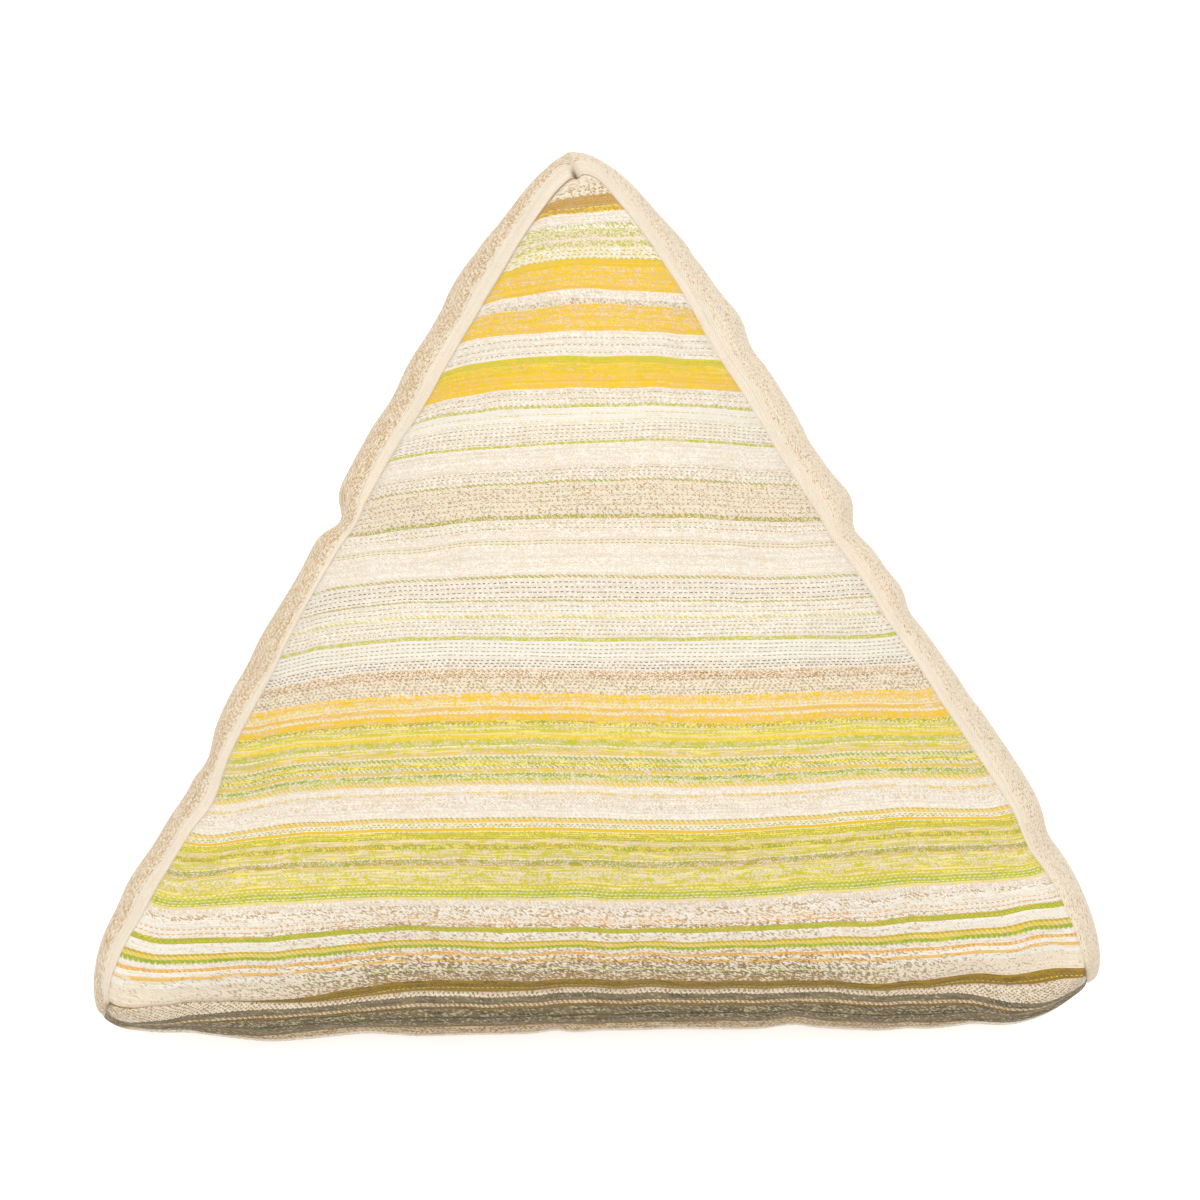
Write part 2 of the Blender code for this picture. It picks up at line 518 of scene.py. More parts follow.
@dataclass(frozen=True)
class Pull:
    """A place of the front panel where the stripes lie lower than on straight cloth.

    Where it is, across from the middle line and up from the bottom seam, how much lower
    the stripes lie, and how far that reaches.
    """
    across: float
    up: float
    amount: float
    reach_across: float
    reach_up: float


@dataclass(frozen=True)
class Pit:
    """A slit that runs out from a front seam corner, along the boxing's short seam, with painted shade in
    it.

    Length and width are halves, the direction is in degrees from +X, and dark is how dark the painted
    shade is.
    """
    corner: int
    depth: float
    length: float
    width: float
    direction: float
    dark: float


CREASES = table(Crease, """
side place width depth dark rise
0 .27 .035 .0016 .88 .006
""")
WANDERS = table(Wander, """
side place amount width
2 .44 .0012 .03
2 .56 .0046 .06
2 .94 -.0015 .03
2 0 -.0045 .04
1 1.0 -.003 .035
1 0 .008 .06
1 .5 .001 .05
""")
PULLS = table(Pull, """
across up amount reach_across reach_up
.07 0 .0021 .09 .12
0 .32 .0025 .04 .05
-.105 0 .0015 .07 .06
.07 .32 -.0014 .04 .05
-.035 .12 -.0015 .04 .05
-.07 .32 -.0032 .04 .05
.21 .04 -.0021 .03 .022
-.21 .04 -.0027 .03 .022
-.035 .27 .0022 .03 .022
-.175 .04 .0015 .03 .022
.14 .17 -.0014 .04 .05
0 .04 .0009 .03 .022
-.06 .345 -.004 .022 .045
.06 .345 -.0016 .022 .045
-.15 .19 .0013 .04 .05
-.205 0 .0075 .065 .012
.035 .37 .0017 .09 .12
.07 .17 .0015 .07 .06
-.07 .27 .0019 .04 .05
-.035 0 .0012 .07 .06
.175 .015 -.0014 .03 .022
-.07 .32 .0029 .03 .022
-.105 .17 .0008 .09 .12
.14 .12 .0006 .09 .12
.01 .385 .0018 .06 .05
.205 0 -.0016 .032 .022
""")
PITS = table(Pit, """
corner depth length width direction dark
0 .0016 .008 .0028 215.0 1.0
1 .0008 .013 .0015 98.0 .92
2 .0036 .0115 .0024 110.0 1.0
""")


def fade(x: Array) -> Array:
    """1 at a seam and 0 at the far end of its patch, level at both."""
    return (1 - x) ** 2 * (1 + 2 * x)


def bell(x: Array) -> Array:
    """A smooth hump, 1 at 0 and nearly 0 past 2."""
    return np.exp(-x * x)


@dataclass(frozen=True)
class SewingPattern:
    """The seam lines of the pillow, and how its cloth stands away from them.

    Each side of a straight triangle bows out by its sections, each corner is shifted, and
    each pucker draws a short stretch of seam inward.
    """
    side: float = 0.457
    seam_gap: float = 0.048
    corner_gap: float = 0.008
    front_crown: float = 0.042
    back_crown: float = 0.040
    crown_power: float = 0.54
    rest_depth: float = 0.007
    rest_blend: float = 0.006
    boxing_arc: float = math.radians(78.0)
    notch_rise: float = 0.014
    tuck_width: float = 0.005
    corner_turn: float = 0.022
    corner_reach: float = 0.034
    pucker_reach: float = 0.034
    pucker_rise: float = 0.012
    fold_place: float = 0.50
    fold_width: float = 0.13
    grading: float = 1.25
    shade_width: float = 0.0006
    groove_width: float = 0.0009
    back_shade: float = 0.7

    @property
    def inradius(self) -> float:
        """Distance from the centroid to each straight side."""
        return self.side / (2 * math.sqrt(3))

    @property
    def triangle(self) -> Array:
        """The three straight corners about the centroid."""
        half, low = self.side / 2, -self.inradius
        return np.array([[-half, low], [half, low], [0.0, 2 * self.inradius]])

    @property
    def along(self) -> Array:
        """Unit direction of each side, anticlockwise."""
        return (np.roll(self.triangle, -1, axis=0) - self.triangle) / self.side

    @property
    def outward(self) -> Array:
        """Unit direction out of the triangle, square to each side."""
        along = self.along
        return np.stack([along[:, 1], -along[:, 0]], axis=1)

    @property
    def shift(self) -> Array:
        """The corners' shifts from the straight triangle."""
        return np.array([[corner.shift_x, corner.shift_y] for corner in CORNERS])

    def between_sections(self, side: int, place: Array, column: str) -> Array:
        """Carry a column of the side's sections, bow or bulge, smoothly from each to the next."""
        rows = [row for row in SECTIONS if row.side == side]
        value = np.full_like(place, getattr(rows[0], column))
        for near, far in zip(rows[:-1], rows[1:]):
            share = np.clip((place - near.place) / (far.place - near.place), 0.0, 1.0)
            value += (getattr(far, column) - getattr(near, column)) * (1 - fade(share))
        return value

    def seam_shift(self, side: int, place: Array) -> Array:
        """How far the seam lies from the straight side, without its puckers.

        Args:
            side: Number of the side.
            place: Shares along the side.

        Returns:
            The bow, square to the side, plus both corners' shifts, each fading along it.
        """
        start = place * self.side
        end = self.side - start
        first_rise, last_rise = CORNERS[side].bow_after, CORNERS[(side + 1) % 3].bow_before
        rise = (1 - np.exp(-start / first_rise)) * (1 - np.exp(-end / last_rise))
        bow = (self.between_sections(side, place, "bow") * rise)[..., None] * self.outward[side]
        first = (bell(start / self.corner_reach) * fade(place))[..., None] * self.shift[side]
        last = (bell(end / self.corner_reach) * fade(1 - place))[..., None]
        return bow + first + last * self.shift[(side + 1) % 3]

    def side_distances(self, flat: Array) -> Array:
        """Distance of each flat point from each of the three straight sides."""
        triangle, outward = self.triangle, self.outward
        return np.array([np.maximum(-((flat - triangle[k]) @ outward[k]), 0.0) for k in range(3)])

    def pucker_shift(self, flat: Array) -> Tuple[Array, Array]:
        """How the puckers draw in points of a flat panel.

        Args:
            flat: Points of the flat triangle.

        Returns:
            The shift in x and y, and the depth of the troughs, which is 0 on the seams.
        """
        shift = np.zeros_like(flat)
        drop = np.zeros(flat.shape[:-1])
        for pucker in PUCKERS + GATHERS:
            from_corner = flat - self.triangle[pucker.side]
            along = from_corner @ self.along[pucker.side]
            inward = np.maximum(-(from_corner @ self.outward[pucker.side]), 0.0)
            width = pucker.width * (1 + inward / self.pucker_reach)
            strength = bell((along - pucker.place * self.side) / width)
            strength = strength * np.exp(-inward / self.pucker_reach)
            shift -= (pucker.pull * strength)[..., None] * self.outward[pucker.side]
            drop += max(pucker.pull, 0.0) * strength
        nearest = np.min(self.side_distances(flat), axis=0)
        return shift, drop * np.minimum(nearest / self.pucker_rise, 1.0)

    def seam_height(self, flat: Array) -> Array:
        """Half the height between the two seams, larger near the corners."""
        nearest = np.min([np.linalg.norm(flat - c, axis=-1) for c in self.triangle], axis=0)
        return self.seam_gap / 2 + self.corner_gap / 2 * bell(nearest / (2 * self.corner_reach))

    def crown(self, flat: Array) -> Array:
        """Height share of a panel: the product of the side distances, to a power under 1."""
        product = np.prod(self.side_distances(flat), axis=0)
        return (27 * product / (3 * self.inradius) ** 3) ** self.crown_power

    def graded(self, steps: int) -> Array:
        """Shares from 0 to 1, closer together near 0."""
        return np.linspace(0, 1, steps + 1) ** self.grading

    def panel_place(self, corner: int, a: Array, b: Array) -> Tuple[Array, Array]:
        """Where a kite of a panel lies, flat and sewn.

        Args:
            corner: Number of the kite's corner.
            a: Share from the corner towards the next corner's side middle.
            b: Share towards the last corner's side middle.

        Returns:
            The flat points, blended from the corner, the middles of its sides and the
            centroid, and their shifts in x and y by both seams, each fading inward.
        """
        here = self.triangle[corner]
        next_middle = (here + self.triangle[(corner + 1) % 3]) / 2
        last_middle = (here + self.triangle[(corner - 1) % 3]) / 2
        a1, b1 = a[..., None], b[..., None]
        flat = ((1 - a1) * (1 - b1) * here + a1 * (1 - b1) * next_middle
                + (1 - a1) * b1 * last_middle + a1 * b1 * self.triangle.mean(axis=0))
        shift = (self.seam_shift(corner, a / 2) * fade(b1)
                 + self.seam_shift((corner - 1) % 3, 1 - b / 2) * fade(a1)
                 - self.shift[corner] * fade(a1) * fade(b1))
        return flat, shift

    def boxing_direction(self, side: int, place: Array) -> Array:
        """Which way the boxing bulges: square to the side, turned half way and leaning at corners."""
        start = bell(place * self.side / self.corner_turn)
        end = bell((1 - place) * self.side / self.corner_turn)
        before, after = self.outward[(side - 1) % 3], self.outward[(side + 1) % 3]
        way = self.outward[side] + start[..., None] * before + end[..., None] * after
        way /= np.linalg.norm(way, axis=-1, keepdims=True)
        lean = np.radians(CORNERS[side].lean * start + CORNERS[(side + 1) % 3].lean * end)
        x, y = way[..., 0], way[..., 1]
        return np.stack([x * np.cos(lean) - y * np.sin(lean), x * np.sin(lean) + y * np.cos(lean)],
                        axis=-1)

    def boxing_bulge(self, side: int, place: Array) -> Array:
        """How far the middle of the boxing stands outside its seams."""
        first, last = CORNERS[side], CORNERS[(side + 1) % 3]
        start, end = place * self.side, (1 - place) * self.side
        bulge = self.between_sections(side, place, "bulge")
        bulge += (first.bulge - bulge) * np.exp(-start / first.bulge_after)
        bulge += (last.bulge - bulge) * np.exp(-end / last.bulge_before)
        tuck = (1 - first.tuck * bell(start / self.tuck_width)
                - last.tuck * bell(end / self.tuck_width))
        notch = np.zeros_like(place)
        for pucker in PUCKERS + GATHERS:
            if pucker.side == side:
                notch += pucker.notch * bell((place - pucker.place) * self.side / pucker.width)
        notch *= np.minimum(np.minimum(start, end) / self.notch_rise, 1.0)
        return bulge * tuck * (1 - notch)

    def press_flat(self, height: Array) -> Array:
        """Height over the floor: 0 below it, then a short round, then the height itself."""
        middle = height ** 2 / (4 * self.rest_blend)
        lifted = np.where(height > 2 * self.rest_blend, height - self.rest_blend, middle)
        return np.where(height > 0, lifted, 0.0)


@dataclass
class Grid:
    """A grid of points of a piece of cloth, with their places on the cloth.

    Also their places before the filling, distances from the nearest seam, how dark the painted shade is
    there and how deep the cloth turns in, and the share of its way that the filling may take them.
    """
    points: Array
    cloth: Array
    slack: Array
    seam_distance: Array
    painted_shade: Array
    groove: Array
    give: Array


# Columns of a grid that go with the mesh until its seams are turned in, with their widths
POINT_VALUES: Dict[str, int] = {"slack": 3, "seam_distance": 1, "painted_shade": 1, "groove": 1, "give": 1}


@dataclass
class Panel:
    """The front or back panel: three kites that meet in the middle.

    Slack is the empty panel's share of its crown. The rest shapes the cloth's lie: grain,
    droop to the left and right, and lift along the right seam, higher up and low down.
    """
    pattern: SewingPattern
    front: bool
    steps: int
    slack: float
    grain: float = math.radians(0.85)
    left_droop: float = 1.35
    left_limit: float = 0.215
    right_droop: float = 0.18
    droop_rise: float = 0.075
    lift: float = 0.0062
    lift_reach: float = 0.022
    low_lift: float = 0.0028
    low_place: float = 0.014
    low_reach: float = 0.010
    low_rise: float = 0.095
    line_steps: int = 400

    def middle_line(self) -> Tuple[Array, Array]:
        """Flat y up the panel's middle line, and the cloth length from its bottom over the crown."""
        pattern = self.pattern
        share = np.linspace(0, 1, self.line_steps)
        one = np.ones_like(share)
        low_flat, low_shift = pattern.panel_place(0, one, share)
        high_flat, high_shift = pattern.panel_place(2, share[::-1], share[::-1])
        flat = np.concatenate([low_flat, high_flat[1:]])
        place = flat + np.concatenate([low_shift, high_shift[1:]])
        height = pattern.front_crown * pattern.crown(flat)
        steps = np.hypot(np.diff(place[:, 1]), np.diff(height))
        return flat[:, 1], np.concatenate([[0.0], np.cumsum(steps)])

    def cloth_place(self, flat: Array) -> Array:
        """Place on the cloth: the length up the middle line, turned by the grain.

        Added to it are a droop to each side, by a power of the distance from the middle line,
        a lift next to the right seam, and the pulls.
        """
        up = np.interp(flat[..., 1], *self.middle_line())
        across = flat[..., 0] if self.front else -flat[..., 0]
        beyond = np.maximum(-across, 0.0)
        left = self.left_droop * beyond ** 3 / (1 + (beyond / self.left_limit) ** 12)
        right = self.right_droop * np.maximum(across, 0.0) ** 2
        right = right * (1 - np.exp(-(up / self.droop_rise) ** 4))
        inside = self.pattern.side_distances(flat)[1]
        low = bell(up / self.low_rise)
        lift = (self.lift * (1 - low) * np.exp(-inside / self.lift_reach)
                + self.low_lift * low * bell((inside - self.low_place) / self.low_reach))
        length = up + math.tan(self.grain) * across + left + right - lift
        for pull in PULLS:
            length += pull.amount * (bell((across - pull.across) / pull.reach_across)
                                     * bell((up - pull.up) / pull.reach_up))
        return np.stack([across, length], axis=-1)

    def grids(self) -> List[Grid]:
        """The panel's three kites, crowned up at the front or down at the back."""
        pattern = self.pattern
        share = pattern.graded(self.steps)
        a, b = np.meshgrid(share, share, indexing="ij")
        way, rise, shade = ((1.0, pattern.front_crown, 1.0) if self.front
                            else (-1.0, pattern.back_crown, pattern.back_shade))
        made = []
        for corner in range(3):
            flat, shift = pattern.panel_place(corner, a, b)
            pucker, drop = pattern.pucker_shift(flat)
            xy = flat + shift + pucker
            crown = rise * pattern.crown(flat)
            points, slack = [
                np.concatenate([xy, (way * (pattern.seam_height(flat) + full * crown - drop))[..., None]],
                               axis=-1) for full in (1.0, self.slack)]
            distances = pattern.side_distances(flat)
            nearest, distance = np.argmin(distances, axis=0), np.min(distances, axis=0)
            # Painted shade along the nearest front seam, weaker on the back panel
            dark = np.choose(nearest, [
                side.dark((flat - pattern.triangle[k]) @ pattern.along[k] / pattern.side)
                for k, side in enumerate(SIDES)])
            groove = np.choose(nearest, [side.groove for side in SIDES])
            made.append(Grid(points, self.cloth_place(flat), slack, distance,
                             dark * shade * np.exp(-distance / pattern.shade_width),
                             groove * np.exp(-distance / pattern.groove_width),
                             np.ones_like(distance)))
        return made


@dataclass
class BoxingStrip:
    """One boxing strip: an arc from the front seam to the back seam, carried along a side.

    Its points are crowded near both seams, and the filling gives it less than a panel.
    """
    pattern: SewingPattern
    side: int
    steps: int
    across_steps: int
    crowding: float = 0.11
    sag_rise: float = 0.045
    give: float = 0.35

    def grid(self) -> Grid:
        """The strip's grid, along the side by across from front seam to back seam."""
        pattern, side = self.pattern, SIDES[self.side]
        half = pattern.graded(self.steps) / 2
        even = np.linspace(0, 1, self.across_steps + 1)
        place, across = np.meshgrid(np.concatenate([half, 1 - half[-2::-1]]),
                                    even - self.crowding * np.sin(2 * math.pi * even), indexing="ij")
        flat = (pattern.triangle[self.side]
                + (place * pattern.side)[..., None] * pattern.along[self.side])
        seam = flat + pattern.seam_shift(self.side, place) + pattern.pucker_shift(flat)[0]
        arc = pattern.boxing_arc
        angle = arc * (1 - 2 * across)
        stands_out = (np.cos(angle) - math.cos(arc)) / (1 - math.cos(arc))
        nearest = np.minimum(place, 1 - place) * pattern.side
        fold = side.fold * bell((across - pattern.fold_place) / pattern.fold_width)
        fold = fold * np.minimum(nearest / pattern.notch_rise, 1.0)
        out = pattern.boxing_bulge(self.side, place) * stands_out - fold
        height = pattern.seam_height(flat) * np.sin(angle) / math.sin(arc)
        points = np.concatenate([seam + out[..., None] * pattern.boxing_direction(self.side, place),
                                 height[..., None]], axis=-1)
        width = pattern.seam_gap * arc / math.sin(arc)
        sag = side.sag * (1 - bell(nearest / self.sag_rise))
        for row in WANDERS:
            if row.side == self.side:
                sag = sag + row.amount * bell((place - row.place) * pattern.side / row.width)
        cloth = np.stack([place * pattern.side, side.start - across * width - sag], axis=-1)
        distance = width * np.minimum(across, 1 - across)
        # Painted shade along both seams, weaker along the back seam
        dark = side.dark(place) * np.where(across < 0.5, 1.0, pattern.back_shade)
        painted_shade = dark * np.exp(-distance / pattern.shade_width)
        groove = side.groove * np.exp(-distance / pattern.groove_width)
        # Painted shade and a groove along the bottom boxing's fold
        for line in CREASES:
            if line.side == self.side:
                on_line = (bell((across - line.place) / line.width)
                           * np.minimum(nearest / line.rise, 1.0))
                painted_shade = np.maximum(painted_shade, line.dark * on_line)
                groove = groove + line.depth * on_line
        return Grid(points, cloth, points.copy(), distance, painted_shade, groove,
                    np.full_like(place, self.give))


def operation(name: str, swapped: bool = False) -> Callable[..., "Wire"]:
    """Make a wire's operator or method that adds one Math node, with the wire first or last."""
    def apply(wire: "Wire", *others: "Value") -> "Wire":
        """Add the node."""
        return wire.sheet.math(name, *((*others, wire) if swapped else (wire, *others)))
    return apply


class Wire:
    """A node's output, which can be calculated with."""
    __add__ = __radd__ = operation("ADD")
    __sub__, __rsub__ = operation("SUBTRACT"), operation("SUBTRACT", True)
    __mul__ = __rmul__ = operation("MULTIPLY")
    __truediv__, __pow__ = operation("DIVIDE"), operation("POWER")
    __lt__, __gt__ = operation("LESS_THAN"), operation("GREATER_THAN")
    __abs__, floor, fraction = operation("ABSOLUTE"), operation("FLOOR"), operation("FRACT")
    at_least, at_most = operation("MAXIMUM"), operation("MINIMUM")

    def __init__(self, sheet: "NodeSheet", socket: bpy.types.NodeSocket) -> None:
        """Keep the output and the sheet that it is on."""
        self.sheet, self.socket = sheet, socket


Value = Union[Wire, float, Tuple[float, ...]]


class NodeSheet:
    """A short way to write a shader's node graph: each call adds a node."""

    def __init__(self, material: bpy.types.Material) -> None:
        """Start from an emptied node tree."""
        self.tree = material.node_tree
        self.tree.nodes.clear()

    def add(self, kind: str, inputs: Optional[Dict[str, Value]] = None, **settings: object
            ) -> bpy.types.Node:
        """Add a node, with values or wires for its named inputs, and its own settings."""
        node = self.tree.nodes.new(kind)
        for name, value in settings.items():
            setattr(node, name, value)
        for name, value in (inputs or {}).items():
            self.put(node.inputs[name], value)
        return node

    def put(self, socket: bpy.types.NodeSocket, value: Value) -> None:
        """Link a wire to a socket, or set the socket to a plain value."""
        if isinstance(value, Wire):
            self.tree.links.new(value.socket, socket)
        else:
            socket.default_value = value

    def outputs(self, kind: str, *values: Value, **settings: object) -> List[Wire]:
        """Add a node with values for its first inputs, and return its outputs."""
        node = self.add(kind, **settings)
        for socket, value in zip(node.inputs, values):
            self.put(socket, value)
        return [Wire(self, socket) for socket in node.outputs]

    def math(self, name: str, *values: Value) -> Wire:
        """A Math node of one to three values."""
        return self.outputs("ShaderNodeMath", *values, operation=name)[0]

    def vector(self, *values: Value) -> Wire:
        """A vector of up to three values."""
        return self.outputs("ShaderNodeCombineXYZ", *values)[0]

    def mix(self, share: Value, first: Value, second: Value, blend: str = "MIX") -> Wire:
        """A colour between two, or a blend of them."""
        node = self.add("ShaderNodeMix", {"Factor": share}, data_type="RGBA", blend_type=blend)
        for socket, value in zip([socket for socket in node.inputs if socket.type == "RGBA"],
                                 (first, second)):
            self.put(socket, value)
        return Wire(self, [socket for socket in node.outputs if socket.type == "RGBA"][0])

    def lerp(self, share: Value, first: Value, second: Value) -> Wire:
        """A value between two."""
        return (second - first) * share + first

    def noise(self, place: Union[Wire, Tuple[Wire, Wire]], scale: float, detail: float = 0.0) -> Wire:
        """Smooth noise at a vector or at two values, about 0.5 on average."""
        vector = place if isinstance(place, Wire) else self.vector(*place)
        node = self.add("ShaderNodeTexNoise", {"Vector": vector, "Scale": scale, "Detail": detail})
        return Wire(self, node.outputs[0])

    def white(self, draw: Draw, *place: Wire) -> Wire:
        """An even random value for each whole place."""
        vector = self.vector(*place, draw.value)
        return self.outputs("ShaderNodeTexWhiteNoise", vector, noise_dimensions="3D")[0]

    def ramp(self, level: Value, stops: Sequence[Tuple[float, Tuple[float, ...]]]) -> List[Wire]:
        """The colour and alpha of a stepped ramp, from each stop's position and colour."""
        node = self.add("ShaderNodeValToRGB", {"Fac": level})
        band = node.color_ramp
        band.interpolation = "CONSTANT"
        while len(band.elements) > 1:
            band.elements.remove(band.elements[-1])
        band.elements[0].position, band.elements[0].color = stops[0]
        for position, colour in stops[1:]:
            band.elements.new(position).color = colour
        return [Wire(self, node.outputs[name]) for name in ("Color", "Alpha")]


def linear(level: float) -> float:
    """One sRGB channel, 0 to 255, as linear light."""
    share = level / 255
    return share / 12.92 if share <= 0.04045 else ((share + 0.055) / 1.055) ** 2.4


def yarn_level(yarn: Yarn) -> float:
    """The number that stands for a yarn in the ramps, 0 to 1."""
    return (YARNS.index(yarn) + 0.5) / len(YARNS)


@dataclass(frozen=True)
class StripedCloth:
    """The woven cloth, in metres of cloth.

    A pick is one row of weft, and a fleck is the width of one warp float. A step is how
    far the weave is set on from one pick to the next, as a share of its repeat.
    """
    pick: float = 0.00048
    dash: float = 0.00235
    dash_step: float = 0.21
    dash_wander: float = 0.35
    fleck: float = 0.00050
    fleck_step: float = 0.5
    fleck_offset: float = 9.0
    blur: float = 0.30
    stroke: float = 0.42
    stroke_scale: float = 1250.0
    stroke_detail: float = 0.6
    stroke_spread: float = 2.6
    slope: float = math.radians(22.0)
    stitch: float = 0.00119
    stitch_step: float = 0.37
    stitch_wander: float = 0.25
    stitch_share: float = 0.30
    stitch_least: float = 0.06
    stitch_range: float = 0.26
    twill_along: float = 0.0016
    twill_up: float = 0.00144
    waver: float = 0.0012
    waver_scale: float = 55.0
    drift_scale: float = 85.0
    drift_step: float = 0.037
    drift_under: float = 0.40
    drift_over: float = 0.56
    cover_least: float = 0.70
    cover_range: float = 0.30
    redraw: float = 57.3
    fine: Tuple[float, float, float] = (0.5, 240.0, 2.0)
    patch: Tuple[float, float, float] = (0.38, 420.0, 6.0)
    paler_from: float = 0.10
    paler_over: float = 1 / 9
    paler_by: float = 0.68
    paler_picks: float = 100.0
    paler_least: float = 0.2
    roundness: float = 0.7
    mottle_scale: float = 22.0
    mottle_detail: float = 2.0
    streak_along: float = 0.25
    streak_step: float = 0.41
    streak_scale: float = 60.0
    mottle_tone: Tuple[float, float] = (0.08, 0.96)
    ridge_tone: Tuple[float, float] = (0.20, 0.95)
    float_tone: Tuple[float, float] = (0.12, 0.94)
    streak_tone: Tuple[float, float] = (0.12, 0.94)
    pick_tone: Tuple[float, float] = (0.10, 0.95)
    exposure: float = 0.785
    run_limit: int = 30
    pick_limit: int = 120
    ramp_picks: int = 128
    # Colours of the painted shade along the seams, in the fold and in the slits, and the powers that
    # narrow it
    brown_seam_shade: Tuple[float, ...] = (0.30, 0.19, 0.085, 1.0)
    seam_shadow: Tuple[float, ...] = (0.050, 0.035, 0.014, 1.0)
    brown_shade_power: float = 3.0
    shadow_power: float = 8.0
    float_height: float = 0.25
    bump_strength: float = 0.35
    bump_distance: float = 0.00025

    def runs(self) -> List[Run]:
        """The whole pick plan from the bottom of the cloth up, with first picks' numbers."""
        rows: List[Run] = []
        tops = [sum(stripe.picks for stripe in FACE_PLAN)]
        tops += [round(side.start / self.pick) for side in SIDES]
        for plan, at in zip((FACE_PLAN,) + BOXING_PLANS, tops):
            for stripe in plan:
                for picks, *look in stripe.runs():
                    at -= picks
                    rows.append((at, *look))
        return sorted(rows, key=lambda row: row[0])

    def chunks(self) -> List[List[Run]]:
        """The runs in groups that each fit one colour ramp."""
        groups: List[List[Run]] = []
        for run in self.runs():
            last = groups[-1] if groups else None
            if last and len(last) < self.run_limit and run[0] - last[0][0] < self.pick_limit:
                last.append(run)
            else:
                groups.append([run])
        return groups

    def make(self) -> bpy.types.Material:
        """Build the material.

        Returns:
            The cloth, with its colour from the pick plan and painted shade where it turns in at a seam,
            in the bottom boxing's fold and in the corner slits, and its relief from round yarns and the
            diagonal lines of the twill, which also paint shade into the colour.
        """
        material = bpy.data.materials.new("striped_cloth_weave")
        material.use_nodes = True
        weave = Weave(material, self)
        weave.finish()
        return material


class Weave(NodeSheet):
    """The nodes of the striped cloth, read at a place along the picks and a pick's number."""

    def __init__(self, material: bpy.types.Material, cloth: StripedCloth) -> None:
        """Read the place on the cloth. The picks waver a little along their length."""
        super().__init__(material)
        self.cloth = cloth
        self.place = self.outputs("ShaderNodeUVMap", uv_map="cloth")[0]
        self.along, up, _ = self.outputs("ShaderNodeSeparateXYZ", self.place)
        self.up = (self.noise(self.place, cloth.waver_scale) - 0.5) * cloth.waver + up
        self.picks = self.up / cloth.pick
        self.row = self.picks.floor()

    def palette(self, level: Value) -> Wire:
        """Turn a yarn's number into its colour."""
        return self.ramp(level, [
            (number / len(YARNS), tuple(self.cloth.exposure * linear(c) for c in yarn.value) + (1.0,))
            for number, yarn in enumerate(YARNS)])[0]

    def plan(self) -> Tuple[Wire, Wire, Wire, Wire]:
        """Read the pick plan: ground, fleck, share and pattern.

        A stop holds the first three as red, green and blue, and the pattern as alpha. Each
        chunk takes over from the one below it at its first pick.
        """
        colour = alpha = None
        span = self.cloth.ramp_picks
        for chunk in self.cloth.chunks():
            first = chunk[0][0]
            here = self.ramp((self.row - (first - 0.5)) / span, [
                ((at - first) / span, (yarn_level(ground), yarn_level(fleck), share, pattern.value))
                for at, ground, fleck, share, pattern in chunk])
            if colour is None:
                colour, alpha = here
                continue
            above = self.row > first - 0.5
            colour, alpha = self.mix(above, colour, here[0]), self.lerp(above, alpha, here[1])
        return (*self.outputs("ShaderNodeSeparateColor", colour), alpha)

    def slanting(self) -> Wire:
        """Noise in short strokes along the twill's slope, spread to about 0 to 1."""
        cloth = self.cloth
        lean_along, lean_up = math.cos(cloth.slope), math.sin(cloth.slope)
        down_slope = (self.along * (lean_along * cloth.stroke)
                      + self.up * (-lean_up * cloth.stroke))
        across_slope = self.along * lean_up + self.up * lean_along
        strokes = self.noise((down_slope, across_slope), cloth.stroke_scale, cloth.stroke_detail)
        return (strokes - 0.5) * cloth.stroke_spread + 0.5

    def shows(self, share: Wire, pattern: Wire) -> Tuple[Wire, Wire]:
        """Where the second yarn comes up over the ground.

        A warp float spans one or two picks and steps half its width from one to the next, a
        dashed pick floats over and under at a fixed pitch, and blocks gather the flecks in
        patches. The yarn shows where the chance at a place is under its share.

        Args:
            share: Share of the ground that the second yarn covers.
            pattern: The pattern's number.

        Returns:
            How much the second yarn shows, 0 to 1, and an even random value for each float.
        """
        cloth, along, row = self.cloth, self.along, self.row
        pair = (row * 0.5).floor() * 2.0
        level = self.lerp(self.white(Draw.PAIR, pair) > 0.5, row, pair)
        offset = self.white(Draw.OFFSET, level) * cloth.fleck_offset
        cell = (along / cloth.fleck + row * cloth.fleck_step + offset).floor()
        random = self.white(Draw.FLOAT, cell, level)
        wander = self.white(Draw.WANDER, row) * cloth.dash_wander
        over = (along / cloth.dash + row * cloth.dash_step + wander).fraction()
        dashed = pattern > (Pattern.BLOCKS.value + Pattern.DASHES.value) / 2
        chance = self.lerp(dashed, random, self.lerp(cloth.blur, over, random))
        floats = abs(pattern - Pattern.FLOATS.value) < 0.1
        chance = self.lerp(floats, chance, self.lerp(cloth.blur, self.slanting(), random))
        blocky = 1.0 - abs(pattern * 2.0 - 1.0)
        # Each noise's squeeze along the picks, its scale and its strength
        fine, patches = [(self.noise((along * squeeze, self.up), scale, 1.0) - 0.5) * strength
                         for squeeze, scale, strength in (cloth.fine, cloth.patch)]
        wanted = (fine + patches * blocky) * (share * (1.0 - share)) + share
        # A face pick's heather has fewer and paler flecks towards both its ends
        far = ((abs(along) - cloth.paler_from) / cloth.paler_over).at_least(0.0).at_most(1.0)
        paler = 1.0 - far * cloth.paler_by * (floats * (row < cloth.paler_picks))
        colour_left = paler * (1.0 - cloth.paler_least) + cloth.paler_least
        return (chance < wanted * paler) * colour_left, random

    def colour(self) -> Tuple[Wire, Wire, Wire]:
        """The yarn colour at a place, before its relief shades it.

        Returns:
            The colour, where the second yarn shows, and the float's random value.
        """
        cloth, along, row = self.cloth, self.along, self.row
        ground, fleck, share, pattern = self.plan()
        shows, random = self.shows(share, pattern)
